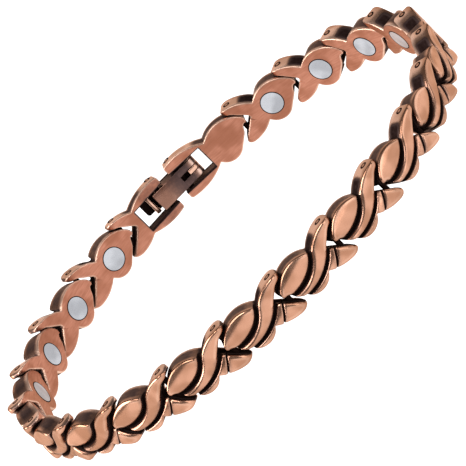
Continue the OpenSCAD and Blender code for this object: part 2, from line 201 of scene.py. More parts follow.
def grid_faces(index):
    """The faces between neighbouring rows and columns of a grid of point numbers, four corners each."""
    corners = [index[:-1, :-1], index[1:, :-1], index[1:, 1:], index[:-1, 1:]]
    return np.stack(corners, -1).reshape(-1, 4)


def flat_plate(*strips):
    """One flat mesh from strips of (along, across) grids, whose neighbouring points make the faces."""
    points, faces, base = [], [], 0
    for along, across in strips:
        index = base + np.arange(across.size).reshape(across.shape)
        faces.append(grid_faces(index))
        points.append(np.column_stack([along.ravel(), across.ravel()]))
        base += across.size
    return joined(np.vstack(points), np.vstack(faces))


def rim_of(faces, count):
    """The edges that only one face has, as arrays of their two ends, in that face's direction."""
    tail, head = faces.ravel(), np.roll(faces, -1, axis=1).ravel()
    tail, head = tail[tail != head], head[tail != head]
    alone = ~np.isin(tail * count + head, head * count + tail)
    return tail[alone], head[alone]


def rim_distance(points, tail, head):
    """Each point's distance from the rim: the least to start + (end - start) * share on any rim edge."""
    way = points[head] - points[tail]
    offset = points[:, None] - points[tail]
    share = np.clip((offset * way).sum(-1) / (way**2).sum(-1), 0, 1)
    return np.sqrt(((offset - share[..., None] * way) ** 2).sum(-1)).min(1)


def thick_plate(points, faces, outer, inner, steps=4):
    """Closes a flat mesh into a plate: the mesh at its outer heights and at its inner heights, and a wall
    along the rim in straight steps between the two. Returns local points, faces, and the rows of points on
    the wall."""
    count = len(points)
    tail, head = rim_of(faces, count)
    rim = np.unique(tail)
    share = np.arange(1, steps) / steps
    wall = outer[rim, None] + (inner - outer)[rim, None] * share
    ladder = np.zeros((count, steps + 1), int)
    ladder[:, 0] = np.arange(count)
    ladder[:, steps] = count + np.arange(count)
    ladder[rim, 1:steps] = 2 * count + np.arange(wall.size).reshape(wall.shape)
    a, b = ladder[tail], ladder[head]
    wall_faces = np.stack([b[:, 1:], a[:, 1:], a[:, :-1], b[:, :-1]], -1).reshape(-1, 4)
    rim_points = np.repeat(points[rim], steps - 1, axis=0)
    local = np.vstack([
        np.column_stack([points[:, 0], outer, points[:, 1]]),
        np.column_stack([points[:, 0], inner, points[:, 1]]),
        np.column_stack([rim_points[:, 0], wall.ravel(), rim_points[:, 1]]),
    ])
    return local, np.vstack([faces[:, ::-1], faces + count, wall_faces]), rim_points


def give_values(mesh, values):
    """Writes numbers or vectors for each point onto a mesh, under the names that the materials read."""
    for key, value in values.items():
        kind, field = ("FLOAT", "value") if value.ndim == 1 else ("FLOAT_VECTOR", "vector")
        attribute = mesh.attributes.new(key, kind, "POINT")
        attribute.data.foreach_set(field, value.astype(np.float32).ravel())


def metal_piece(name, places, faces, values, material):
    """A mesh object at the origin from places in metres and faces of four corners, of which a triangle
    holds one twice. Edges over 50 degrees stay sharp."""
    mesh = bpy.data.meshes.new(name)
    corner = faces != np.roll(faces, 1, axis=1)
    totals = corner.sum(1)
    loops = faces[corner]
    mesh.vertices.add(len(places))
    mesh.vertices.foreach_set("co", places.astype(np.float32).ravel())
    mesh.loops.add(len(loops))
    mesh.loops.foreach_set("vertex_index", loops.astype(np.int32))
    mesh.polygons.add(len(totals))
    mesh.polygons.foreach_set("loop_start", np.concatenate([[0], np.cumsum(totals)[:-1]]).astype(np.int32))
    mesh.update(calc_edges=True)
    mesh.validate()
    give_values(mesh, values)
    mesh.shade_smooth()
    mesh.set_sharp_from_angle(angle=np.radians(50))
    mesh.materials.append(material)
    piece = bpy.data.objects.new(name, mesh)
    bpy.context.scene.collection.objects.link(piece)
    return piece


# The finish of the castings: polished copper plate left dark in the grooves by a real dark film. The same
# film paints shade on the walls, at the rims and in the slots, and lighter metal paints highlights. The
# group mottles the polish, breaks up the dark film's edge, and draws the fine lines of the brushed inner
# faces.
def socket(tree, name, kind, way, value=None):
    """Gives a node group a named input or output, with a default value."""
    made = tree.interface.new_socket(name=name, in_out=way, socket_type=kind)
    if value is not None:
        made.default_value = value


def math_node(tree, operation, a, b, clamp=False):
    """The output of a math node on two values, each a number or another node's output."""
    node = tree.nodes.new("ShaderNodeMath")
    node.operation = operation
    node.use_clamp = clamp
    for slot, value in zip(node.inputs, (a, b)):
        if isinstance(value, (int, float)):
            slot.default_value = value
        else:
            tree.links.new(value, slot)
    return node.outputs[0]


def noise_node(tree, place, scale, detail, stretch=(1, 1, 1)):
    """Noise between 0 and 1 over a place in millimetres, drawn out along an axis where stretch is small."""
    spread = tree.nodes.new("ShaderNodeMapping")
    spread.inputs["Scale"].default_value = stretch
    tree.links.new(place, spread.inputs["Vector"])
    noise = tree.nodes.new("ShaderNodeTexNoise")
    noise.inputs["Scale"].default_value = scale
    noise.inputs["Detail"].default_value = detail
    tree.links.new(spread.outputs[0], noise.inputs["Vector"])
    return noise.outputs["Fac"]


def eased_node(tree, value, low, high):
    """0 below low and 1 above high, with a smooth cubic between."""
    node = tree.nodes.new("ShaderNodeMapRange")
    node.interpolation_type = "SMOOTHSTEP"
    node.inputs["From Min"].default_value = low
    node.inputs["From Max"].default_value = high
    tree.links.new(value, node.inputs["Value"])
    return node.outputs["Result"]


def mixed(tree, share, a, b):
    """The colour a at share 0 and b at share 1. The mix node's colours are inputs 6 and 7 and output 2."""
    node = tree.nodes.new("ShaderNodeMix")
    node.data_type = "RGBA"
    tree.links.new(share, node.inputs["Factor"])
    for slot, value in zip((node.inputs[6], node.inputs[7]), (a, b)):
        if isinstance(value, tuple):
            slot.default_value = value
        else:
            tree.links.new(value, slot)
    return node.outputs[2]


antiqued = bpy.data.node_groups.new("antiqued plate", "ShaderNodeTree")
socket(antiqued, "Polish", "NodeSocketColor", "INPUT", (0.4, 0.18, 0.1, 1))
socket(antiqued, "Bright", "NodeSocketColor", "INPUT", (0.66, 0.27, 0.16, 1))
socket(antiqued, "Worn_and_sheen", "NodeSocketColor", "INPUT", (0.8, 0.52, 0.4, 1))
socket(antiqued, "Tarnish_and_shade", "NodeSocketColor", "INPUT", (0.08, 0.05, 0.047, 1))
socket(antiqued, "Film_and_shade", "NodeSocketColor", "INPUT", (0.014, 0.007, 0.006, 1))
socket(antiqued, "Patina_and_shade", "NodeSocketFloat", "INPUT", 0.0)
socket(antiqued, "Brushed", "NodeSocketFloat", "INPUT", 0.0)
socket(antiqued, "Wear_and_sheen", "NodeSocketFloat", "INPUT", 0.0)
socket(antiqued, "Place", "NodeSocketVector", "INPUT")
socket(antiqued, "Color", "NodeSocketColor", "OUTPUT")
socket(antiqued, "Roughness", "NodeSocketFloat", "OUTPUT")
socket(antiqued, "Metallic", "NodeSocketFloat", "OUTPUT")
socket(antiqued, "Height", "NodeSocketFloat", "OUTPUT")
given = antiqued.nodes.new("NodeGroupInput").outputs
place = given["Place"]
mottle = noise_node(antiqued, place, 0.4, detail=1.0)
smudge = noise_node(antiqued, place, 2.6, detail=5.0)
lines = noise_node(antiqued, place, 5.0, detail=4.0, stretch=(0.15, 1.0, 1.2))

# The grooves' dark film and the painted shade, their edge broken up, turn the metal first to a brown tarnish
# and then to a black film
ragged = math_node(antiqued, "MULTIPLY", math_node(antiqued, "SUBTRACT", smudge, 0.5), 0.3)
ragged = math_node(antiqued, "ADD", given["Patina_and_shade"], ragged)
film = eased_node(antiqued, ragged, 0.5, 0.98)
tarnish = eased_node(antiqued, ragged, 0.08, 0.6)

# The colour: plain or brushed metal, lighter where rubbed bright and where a highlight is painted, deeper in
# clouds and brushed lines, under tarnish and film
metal = mixed(antiqued, given["Brushed"], given["Polish"], given["Bright"])
metal = mixed(antiqued, given["Wear_and_sheen"], metal, given["Worn_and_sheen"])
deep = antiqued.nodes.new("ShaderNodeHueSaturation")
deep.inputs["Saturation"].default_value = 1.1
deep.inputs["Value"].default_value = 0.62
antiqued.links.new(metal, deep.inputs["Color"])
cloud = math_node(antiqued, "MULTIPLY", eased_node(antiqued, mottle, 0.36, 0.64), 0.75)
stained = mixed(antiqued, cloud, metal, deep.outputs["Color"])
scratched = math_node(antiqued, "SUBTRACT", math_node(antiqued, "MULTIPLY", lines, 2.4), 0.8, clamp=True)
shade = math_node(antiqued, "MULTIPLY", scratched, given["Brushed"])
shade = math_node(antiqued, "MULTIPLY", shade, 0.6, clamp=True)
stained = mixed(antiqued, shade, stained, deep.outputs["Color"])
stained = mixed(antiqued, tarnish, stained, given["Tarnish_and_shade"])
stained = mixed(antiqued, film, stained, given["Film_and_shade"])
metallic = math_node(antiqued, "SUBTRACT", 1.0, math_node(antiqued, "MULTIPLY", film, 0.95))

# The roughness, 0.16 and more where brushed, smudged or dark, and the relief of brushing and smudges
brushing = math_node(antiqued, "MULTIPLY", lines, given["Brushed"])
rough = math_node(antiqued, "MULTIPLY", brushing, 0.28)
rough = math_node(antiqued, "ADD", rough, math_node(antiqued, "MULTIPLY", smudge, 0.14))
rough = math_node(antiqued, "ADD", rough, math_node(antiqued, "MULTIPLY", tarnish, 0.15))
rough = math_node(antiqued, "ADD", rough, math_node(antiqued, "MULTIPLY", film, 0.4))
rough = math_node(antiqued, "ADD", rough, 0.16)
relief = math_node(antiqued, "ADD", brushing, math_node(antiqued, "MULTIPLY", smudge, 0.35))
result = antiqued.nodes.new("NodeGroupOutput").inputs
for output, value in (("Color", stained), ("Roughness", rough), ("Metallic", metallic), ("Height", relief)):
    antiqued.links.new(value, result[output])


def plate_finish(name, polish, bright, worn_and_sheen, bump=0.12):
    """A metal material on the antiqued group, with its own colours for the plain, the brushed, and the
    rubbed and painted-highlight metal. It reads from the piece how dark each point is, from real film and
    painted shade, how brushed, how rubbed bright and painted light, and where it is in millimetres."""
    material = bpy.data.materials.new(name)
    material.use_nodes = True
    tree = material.node_tree
    shader = tree.nodes["Principled BSDF"]
    group = tree.nodes.new("ShaderNodeGroup")
    group.node_tree = antiqued
    group.inputs["Polish"].default_value = (*polish, 1)
    group.inputs["Bright"].default_value = (*bright, 1)
    group.inputs["Worn_and_sheen"].default_value = (*worn_and_sheen, 1)
    for key, output in (("Patina_and_shade", "Fac"), ("Brushed", "Fac"), ("Wear_and_sheen", "Fac"), ("Place", "Vector")):
        reader = tree.nodes.new("ShaderNodeAttribute")
        reader.attribute_name = key.lower()
        tree.links.new(reader.outputs[output], group.inputs[key])
    shader.inputs["Specular IOR Level"].default_value = 0.0
    shader.inputs["Specular Tint"].default_value = (0.78, 0.62, 0.53, 1)
    tree.links.new(group.outputs["Metallic"], shader.inputs["Metallic"])
    tree.links.new(group.outputs["Color"], shader.inputs["Base Color"])
    tree.links.new(group.outputs["Roughness"], shader.inputs["Roughness"])
    texture = tree.nodes.new("ShaderNodeBump")
    texture.inputs["Strength"].default_value = bump
    texture.inputs["Distance"].default_value = 0.00003
    tree.links.new(group.outputs["Height"], texture.inputs["Height"])
    tree.links.new(texture.outputs["Normal"], shader.inputs["Normal"])
    return material


# The link's edges, each a height across the band over the way along it: of its arms, of the fork between
# them, of its head, and where the two strips that make up its face part.
def tip_share(along):
    """Share of an arm's width left near its rounded end: sqrt(1 - x^2), x being the way into the tip."""
    return np.sqrt(1 - np.clip((arm_end + tip_round - along) / tip_round, 0, 1) ** 2)


def fork_spread(along):
    """How far the fork's edges are past its round end: sqrt(x^2 + 2 * round * x), far off x + round."""
    x = np.maximum(fork_start - along, 0)
    return np.sqrt(x**2 + 2 * fork_round * x)


def fork_over(along):
    """The upper arm's lower edge: an arc round the head before it, lowered by up to 0.3 towards the arm's
    end, then a straight run down to the fork's apex."""
    run = fork_apex[1] + fork_over_rise * fork_spread(along)
    arc = over_arc(along, *fork_arc) - 0.3 * (1 - eased(along, -1.3, 0.1))
    return np.where(along < fork_arc_end, arc, run)


def fork_under(along):
    """The lower arm's upper edge, straight from its end up to the fork's apex."""
    return fork_apex[1] - run_rise * fork_spread(along)


def full_top(along):
    """The link's upper rim: the arms' arc and the head's arc, whichever is higher."""
    drawn_in = corner_drawn_in(along, arm_end - 1, head_end, head_corner)
    return blended_max(over_arc(along, *arm_top_arc), over_arc(along, *head_top_arc)) - drawn_in


def nib_hollow(before_tip):
    """How far the run up to a head's tip is hollowed just behind it: 0.4 * sin(pi * before / 1.3)^2."""
    return 0.4 * np.sin(np.pi * np.clip(before_tip / 1.3, 0, 1)) ** 2


def full_foot(along):
    """The link's lower rim: the arms' arc, then the head's belly and the hollowed run up to its tip."""
    run = tip_across + run_rise * (along - head_end) + nib_hollow(head_end - along)
    under = np.where(along < head_foot_end, under_arc(along, *head_foot_arc), run)
    drawn_in = corner_drawn_in(along, arm_end - 1, head_end, head_corner)
    return drawn_in - blended_max(-under_arc(along, *arm_foot_arc), -under)


def link_top(along):
    """The upper rim, drawn halfway to the upper arm's lower edge at the arm's rounded tip."""
    return full_top(along) - (1 - tip_share(along)) * (full_top(along) - fork_over(along)) / 2


def link_foot(along):
    """The lower rim, drawn halfway to the lower arm's upper edge at the arm's rounded tip."""
    return full_foot(along) + (1 - tip_share(along)) * (fork_under(along) - full_foot(along)) / 2


def parting(along, fork_edge, rounding):
    """Where the upper strip of the plate meets the lower: a fork edge up to the apex, rounded in at the
    arm's tip, then an easy curve into the groove between leaf and ribbon."""
    groove = (under_arc(along, *ribbon_edge) + under_arc(along, *leaf_far)) / 2
    share = eased(along, fork_start, 3.6)
    beyond = np.clip((1 - share) * fork_apex[1] + share * groove, full_foot(along), full_top(along))
    return np.where(along < fork_start, fork_edge + (1 - tip_share(along)) * rounding / 2, beyond)


def parting_low(along):
    return parting(along, fork_under(along), full_foot(along) - fork_under(along))


def parting_high(along):
    return parting(along, fork_over(along), full_top(along) - fork_over(along))


# The lower strip's columns slant, those at its finely cut part just as the split between the crescent and
# the lower leaf does: there each foot is the same way ahead of its place at the top, and elsewhere it falls
# back evenly.
fine_start = 0.6
fine_end = 1.25
fine_slant = 1.48
upright = 5.5
places = np.concatenate([
    columns(arm_end, fork_start, 0.08, 0.3),
    columns(fork_start, head_end, 0.085, head_corner),
    np.linspace(fine_start, fine_end, 26),
])
places = np.unique(np.round(places, 5))
feet = np.interp(
    places,
    [arm_end, fine_start, fine_end, upright, head_end],
    [arm_end, fine_start + fine_slant, fine_end + fine_slant, upright, head_end])
lower_strip = banded(
    points_on(parting_low, places), points_on(link_foot, feet), [ribbon_far, ribbon_edge], [14, 6, 8])
upper_strip = banded(
    points_on(link_top, places), points_on(parting_high, places), [leaf_far, leaf_edge], [14, 6, 20])
flat, flat_faces = flat_plate(lower_strip, upper_strip)
tail, head = rim_of(flat_faces, len(flat))
from_rim = rim_distance(flat, tail, head)

# The leaf, the ribbon, the crescent and the lower leaf: how far each point is inside a field, below 0
# outside it, and how high the field's crown stands there. Above the fork the ribbon has no lower edge.
from_leaf = np.hypot(*(flat - leaf_edge[0]).T)
from_ribbon = np.hypot(*(flat - ribbon_edge[0]).T)
from_split = (flat - split_foot) @ split_out
above_fork = np.maximum(flat[:, 1] - fork_apex[1], 0)
into_fields = np.array([
    leaf_edge[1] - from_leaf,
    np.minimum(from_leaf - leaf_edge[1] - leaf_groove, ribbon_edge[1] - from_ribbon + 2 * above_fork),
    np.minimum(from_ribbon - ribbon_edge[1] - ribbon_groove, split_overlap - from_split),
    from_split + split_overlap - split_width,
])
crowns = np.array([
    crown(flat, 1.45, (5.7, 1.3), -16, 3.0),
    crown(flat, 1.45, (2.83, 0.62), -29, 4.0),
    crown(flat, 1.25, (4.25, -1.99), -5, 3.6),
    crown(flat, 1.35, (0.0, -1.86), 22, 2.5),
])
softness = np.array([0.4, 0.45, 0.25, 0.3])
field = into_fields.argmax(0)
into = into_fields.max(0)
crest = crowns[field, np.arange(len(flat))]

# Outside, each field is rounded off towards its edge and falls by a short flank to the grooves' floor
outer = crest - rounded_drop(into, softness[field]) * 0.75
outer = np.where(into < 0, outer + (groove_floor - outer) * eased(-into, 0, groove_flank), outer)
outer = outer - rounded_drop(from_rim, outer_round)
inner = inner_face + rounded_drop(from_rim, inner_round)
link_local, link_faces, wall_points = thick_plate(flat, flat_faces, outer, inner)

# The lower arm widens upwards from its inside to its outside, as a casting's draft
along, out, across = link_local.T
risen = np.clip((across - link_foot(along)) / (fork_under(along) - link_foot(along)), 0, 1)
risen = risen * (across < (fork_under(along) + fork_over(along)) / 2) * (1 - eased(along, 0.7, 1.75))
link_local[:, 2] += lower_arm_draft * risen * np.clip((out - inner_face) / 2, 0, 1)


def rounded_arms(local):
    """Rounds the arms' ends: before the pin, out is drawn to the middle by sqrt(1 - (along / radius)^2)."""
    share = np.sqrt(1 - np.clip(-local[:, 0] / arm_round, 0, 1) ** 2)
    return np.column_stack([local[:, 0], arm_middle + (local[:, 1] - arm_middle) * share, local[:, 2]])


link_local = rounded_arms(link_local)
on_top = 1.2


def wall_film_and_shade(points):
    """How dark the walls are, real film and painted shade together: black in the fork and round the head's
    end, which lies sheltered in the next link's fork, and half dark at the arms' ends, all painted shade;
    deep on the waist and less dark just past it, a painted highlight; brown on top of the head; and light on
    top of the arms, a painted sheen."""
    along, across = points.T
    to_fork = np.minimum(abs(across - fork_over(along)), abs(across - fork_under(along)))
    to_sides = np.minimum(abs(across - link_top(along)), abs(across - link_foot(along)))
    in_fork = (along < fork_apex[0] + 0.1) & (to_fork < to_sides)
    arm = 1 - eased(along, 1.1, 2.0)
    above = 0.9 - 0.5 * eased(along, 3.1, 3.4) + 0.2 * eased(along, 3.5, 4.6)
    film = np.where(across > on_top, above, 0.75)
    film = np.where(in_fork, 1.0, film * (1 - arm) + arm * np.where(across > on_top, 0.0, 0.55))
    film = np.maximum(film, 0.5 * (1 - eased(along, arm_end + 0.05, arm_end + 0.3)))
    return np.maximum(film, eased(along, 6.5, 7.6))


# The film fills the grooves too, as a real dark film. Over the outer rim it comes thinly from the walls,
# into the fields from their edges and round the inner face's rim, all painted shade. Lighter metal shows
# along the fields' edges and just inside the rim, rubbed and painted highlight together, and round the inner
# face's rim and on top of the arms, a painted highlight.
in_groove = 1 - eased(into, -0.05, 0.09)
near_wall = 1 - eased(from_rim, 0.02, 0.2)
rim_shade = 0.35 * wall_film_and_shade(flat) * (1 - eased(from_rim, 0.0, 0.14))
field_edge_shade = 0.26 * (1 - eased(into, 0.1, 0.75))
link_patina_and_shade = np.concatenate([
    np.maximum.reduce([in_groove, rim_shade, field_edge_shade]),
    0.1 * near_wall,
    wall_film_and_shade(wall_points),
])
link_brushed = np.concatenate([np.zeros(len(flat)), np.ones(len(flat)), np.zeros(len(wall_points))])
# Rubbed bright and painted highlight along the fields' edges and in a ring just inside the rim
edge_wear_and_highlight = 0.45 * np.exp(-np.maximum(into, 0) / 0.15) * (into > 0)
edge_wear_and_highlight = np.maximum(edge_wear_and_highlight, 0.3 * np.exp(-((from_rim - 0.3) / 0.1) ** 2))
# A painted sheen on top of the arms
arm_top_sheen = 0.45 * (1 - eased(wall_points[:, 0], 1.1, 2.0)) * (wall_points[:, 1] > on_top)
link_wear_and_sheen = np.concatenate([edge_wear_and_highlight, near_wall, arm_top_sheen])
link_copper = plate_finish(
    "link copper", polish=(0.53, 0.27, 0.175), bright=(0.46, 0.197, 0.13), worn_and_sheen=(0.85, 0.56, 0.43))

# Each link's finish is read this much further along, so that no two are mottled alike
finish_step = np.array([20.0, 0, 0])

for number in range(1, link_count + 1):
    piece = metal_piece(f"link_{number:02d}_casting", set_on_span(number, link_local), link_faces, {
        "patina_and_shade": link_patina_and_shade,
        "brushed": link_brushed,
        "wear_and_sheen": link_wear_and_sheen,
        "place": link_local + number * finish_step,
    }, link_copper)
    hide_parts(f"link_{number:02d}")
    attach(piece, "band")

# The magnets, nickel-plated discs set into round pockets in the brushed inside of the links. A ring painted
# dark, as the shadow of the gap, shows where each disc sits in its pocket.
magnet_along = 4.93
magnet_radius = 1.425
magnet_edge = 0.08
magnet_dome = 0.05
magnet_ring = 1.53
ring_depth = 0.022
magnet_depth = 0.09
magnet_face = 1.35


def turned(radii, heights, steps=48):
    """A turned surface closed at both ends: (radius cos a, radius sin a, height) for each row of the
    profile and each angle a. The profile starts at the axis on top and ends at it below. Returns points and
    faces."""
    a = np.linspace(0, 2 * np.pi, steps, endpoint=False)
    radii, heights = np.asarray(radii)[:, None], np.asarray(heights)[:, None]
    points = np.stack([radii * np.cos(a), radii * np.sin(a), heights + 0 * a], -1).reshape(-1, 3)
    index = np.arange(len(points)).reshape(len(radii), steps)
    index = np.hstack([index, index[:, :1]])
    return joined(points, grid_faces(index))


dome = np.linspace(0, magnet_radius - magnet_edge, 8)
quarter = np.linspace(0, np.pi / 2, 6)[1:]
disc_radii = np.concatenate([
    dome,
    magnet_radius + magnet_edge * (np.sin(quarter) - 1),
    [magnet_ring, magnet_ring, 0],
])
disc_heights = np.concatenate([
    -magnet_dome * (dome / magnet_radius) ** 2,
    magnet_edge * (np.cos(quarter) - 1) - magnet_dome,
])
disc_heights = np.maximum(disc_heights, -ring_depth)
disc_heights = np.concatenate([disc_heights, [-ring_depth, -magnet_depth, -magnet_depth]])
disc, disc_faces = turned(disc_radii, magnet_face + disc_heights)
disc_reach = np.hypot(disc[:, 0], disc[:, 1])
magnet_local = np.column_stack([magnet_along + disc[:, 0], -disc[:, 2], disc[:, 1]])
nickel = plate_finish(
    "magnet nickel", polish=(0.46, 0.47, 0.5), bright=(0.49, 0.5, 0.53), worn_and_sheen=(0.8, 0.8, 0.82), bump=0.01)

for number in range(1, link_count + 1):
    piece = metal_piece(f"magnet_{number:02d}_disc", set_on_span(number, magnet_local), disc_faces, {
        # The ring round the disc is painted dark as shade
        "patina_and_shade": (disc_reach > magnet_radius - 0.01).astype(float),
        "brushed": 0.05 * np.ones(len(disc)),
        "wear_and_sheen": 0 * disc_reach,
        "place": magnet_local + number * finish_step,
    }, nickel)
    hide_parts(f"magnet_{number:02d}")
    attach(piece, "band")

# The pins, cut from copper wire and pressed in upright through arms and heads. Each ends at the top in a
# small dished face with a ring round it painted dark, as the shadow of the gap round the pin.
pin_radius = 0.35
pin_foot = -2.35
arm_top = 3.065
arm_slope = -0.116
fork_top = 3.098
fork_slope = 0.122
ring_radius = 0.46
pin_length = arm_top - pin_foot

# From the dish's middle over its lip to the ring painted dark as shade, then down the ring's side and the
# wire's
pin_radii = [0, 0.1, 0.18, 0.23, 0.26, 0.35, ring_radius, ring_radius, pin_radius, pin_radius, 0]
pin_heights = [0.004, 0.008, 0.022, 0.024, 0.008, 0.006, 0.006, -0.08, -0.1, -pin_length, -pin_length]
pin_wire, pin_faces = turned(pin_radii, pin_heights, 32)
pin_reach = np.hypot(pin_wire[:, 0], pin_wire[:, 1])
pin_ring_shade = np.where(pin_reach > 0.24, 1.2, 0.1)
pin_copper = plate_finish(
    "pin copper", polish=(0.4, 0.2, 0.13), bright=(0.5, 0.25, 0.17), worn_and_sheen=(0.85, 0.56, 0.43))


def pin_at(top, slope):
    """A pin's local points, its upper end tilted to lie along the arm's top: height + slope * along."""
    at_top = pin_wire[:, 2] > -0.5
    local = pin_wire.copy()
    local[:, 2] += top + slope * pin_wire[:, 0] * at_top
    return local


hinge_spans = range(1, link_count + 2)
hinge_local = pin_at(arm_top, arm_slope)
hinges = metal_piece(
    "hinge_pin_wires",
    np.vstack([set_on_span(span, hinge_local) for span in hinge_spans]),
    np.vstack([pin_faces + number * len(pin_wire) for number in range(len(hinge_spans))]),
    {
        "patina_and_shade": np.tile(pin_ring_shade, len(hinge_spans)),
        "brushed": np.zeros(len(pin_wire) * len(hinge_spans)),
        "wear_and_sheen": np.zeros(len(pin_wire) * len(hinge_spans)),
        "place": np.tile(hinge_local, (len(hinge_spans), 1)),
    },
    pin_copper,
)
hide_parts("hinge_pins")
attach(hinges, "band")

for letter, span, slope in (("a", 0, fork_slope), ("b", link_count + 2, -fork_slope)):
    pin_local = pin_at(fork_top, slope)
    piece = metal_piece(f"clasp_pin_{letter}_wire", set_on_span(span, pin_local), pin_faces, {
        "patina_and_shade": pin_ring_shade,
        "brushed": np.zeros(len(pin_wire)),
        "wear_and_sheen": np.zeros(len(pin_wire)),
        "place": pin_local,
    }, pin_copper)
    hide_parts(f"clasp_pin_{letter}")
    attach(piece, "band")

# The two end links, castings like the others but plain outside. Each has a square-ended fork that takes the
# clasp; one has a head at its other end and the other has arms.
slot_low = -1.5
slot_high = 1.8
slot_middle = 0.15
slot_half = 1.65
above_slot = 1.85
plain_corner = 0.25
plain_crown = 1.3
plain_round = 6


def plain_link(places, outline, slot_edges, solid, rows):
    """An end link of a lower and an upper strip all along, and a middle strip between them where along is
    in solid. Its outside is a long cylinder: crown - round + sqrt(round^2 - (across - middle)^2)."""
    top, foot = (points_on(edge, places) for edge in outline)
    low, high = (points_on(edge, places) for edge in slot_edges)
    low[:, 1] = np.clip(low[:, 1], foot[:, 1], top[:, 1])
    high[:, 1] = np.clip(high[:, 1], foot[:, 1], top[:, 1])
    middle = (places > solid[0] - 1e-6) & (places < solid[1] + 1e-6)
    flat, faces = flat_plate(
        banded(low, foot, [], [14]),
        banded(top, high, [], [14]),
        banded(high[middle], low[middle], [], [rows]),
    )
    tail, head = rim_of(faces, len(flat))
    from_rim = rim_distance(flat, tail, head)
    outer = crown(flat, plain_crown, (0, slot_middle), 0, plain_round) - rounded_drop(from_rim, 0.3)
    inner = inner_face + rounded_drop(from_rim, inner_round)
    local, faces, wall = thick_plate(flat, faces, outer, inner)
    near_wall = 1 - eased(from_rim, 0.02, 0.2)
    inside = np.zeros(len(local))
    inside[len(flat):2 * len(flat)] = 1
    return local, faces, near_wall, wall, inside


held_start = -0.85
held_end = 10.75
held_slot_end = 4.05
held_fork_top_arc = ((0.85, -3.85), 7.0)
held_head_top_arc = ((7.4, -1.4), 4.0)
held_fork_foot_arc = ((0.85, 5.35), 8.0)
held_head_foot_arc = ((6.7, -0.6), 2.05)
held_head_foot_end = 8.043
fixed_slot_start = 2.7
fixed_end = 7.6
fixed_fork_top_arc = ((5.9, -3.85), 7.0)
fixed_fork_foot_arc = ((5.9, 5.35), 8.0)


def held_top(along):
    """The upper rim of the link the clasp lets go: its fork's arc or its head's, whichever is higher."""
    drawn_in = corner_drawn_in(along, held_start, held_end, plain_corner)
    return blended_max(over_arc(along, *held_fork_top_arc), over_arc(along, *held_head_top_arc)) - drawn_in


def held_foot(along):
    """Its lower rim: the fork's arc, then the head's round belly and the hollowed run up to its tip."""
    run = tip_across + run_rise * (along - held_end) + nib_hollow(held_end - along)
    under = np.where(along < held_head_foot_end, under_arc(along, *held_head_foot_arc), run)
    drawn_in = corner_drawn_in(along, held_start, held_end, plain_corner)
    return drawn_in - blended_max(-under_arc(along, *held_fork_foot_arc), -under)


def held_slot_low(along):
    return np.full_like(along, slot_low)


def held_slot_high(along):
    return np.full_like(along, slot_high)


def slot_edge_shade(plan, past_end):
    """Painted shade that reaches 0.1 to 0.2 out of the slot over both faces. past_end is the way past its
    end.
    """
    beside = np.maximum(abs(plan[:, 1] - slot_middle) - slot_half, 0)
    return 0.9 * (1 - eased(np.hypot(np.maximum(past_end, 0), beside), 0.1, 0.2))


places = np.append(columns(held_start, held_end, 0.1, plain_corner), held_slot_end)
places = np.unique(np.round(places, 5))
held_local, held_faces, held_rim, held_wall, held_inside = plain_link(
    places, (held_top, held_foot), (held_slot_low, held_slot_high), (held_slot_end, held_end), 24)

# Its walls: dark in the slot and below as painted shade, light on top of the fork as a painted sheen, and
# brown from there on to the head's end
wall_along, wall_across = held_wall.T
in_slot = (wall_along < held_slot_end + 0.15) & (abs(wall_across - slot_middle) < slot_half + 0.05)
on_fork = wall_across > above_slot
past_fork = eased(wall_along, 3.0, 4.4)
held_wall_film_and_shade = np.where(on_fork, 0.05 + 0.6 * past_fork + 0.3 * eased(wall_along, 8.5, 9.6), 0.8)
held_wall_film_and_shade = np.where(in_slot, 0.6, held_wall_film_and_shade)
# Its faces are painted dark beside the slot as shade, and faintly dark and lighter round the rim, painted
# shade and highlight
held_plan = held_local[:len(held_rim), [0, 2]]
held_face = np.maximum(slot_edge_shade(held_plan, held_plan[:, 0] - held_slot_end), 0.1 * held_rim)
held = metal_piece("end_link_a_casting", set_on_span(0, held_local), held_faces, {
    "patina_and_shade": np.concatenate([held_face, held_face, held_wall_film_and_shade]),
    "brushed": held_inside,
    "wear_and_sheen": np.concatenate([held_rim, held_rim, 0.45 * on_fork * (1 - past_fork)]),
    "place": held_local,
}, link_copper)
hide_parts("end_link_a")
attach(held, "band")


def fixed_top(along):
    """The upper rim of the link the blade is fixed on: its arms' arc or its fork's, whichever is higher."""
    full = blended_max(over_arc(along, *arm_top_arc), over_arc(along, *fixed_fork_top_arc))
    full = full - corner_drawn_in(along, arm_end - 1, fixed_end, plain_corner)
    return full - (1 - tip_share(along)) * (full - fork_over(along)) / 2


def fixed_foot(along):
    """Its lower rim: its arms' arc and its fork's arc, whichever is lower."""
    full = -blended_max(-under_arc(along, *arm_foot_arc), -under_arc(along, *fixed_fork_foot_arc))
    full = full + corner_drawn_in(along, arm_end - 1, fixed_end, plain_corner)
    return full + (1 - tip_share(along)) * (fork_under(along) - full) / 2


def fixed_slot_edge(along, slot_side):
    """From the fork's apex an even run out to a side of the slot, then along it."""
    share = np.clip((along - fork_start) / (fixed_slot_start - fork_start), 0, 1)
    return fork_apex[1] + (slot_side - fork_apex[1]) * share


def fixed_low(along):
    """The fork's lower arm edge, drawn in at the tip, then the slot's lower side."""
    arm = fork_under(along) - (1 - tip_share(along)) * (fork_under(along) - full_foot(along)) / 2
    return np.where(along < fork_start, arm, fixed_slot_edge(along, slot_low))


def fixed_high(along):
    """The fork's upper arm edge, drawn in at the tip, then the slot's upper side."""
    arm = fork_over(along) + (1 - tip_share(along)) * (full_top(along) - fork_over(along)) / 2
    return np.where(along < fork_start, arm, fixed_slot_edge(along, slot_high))


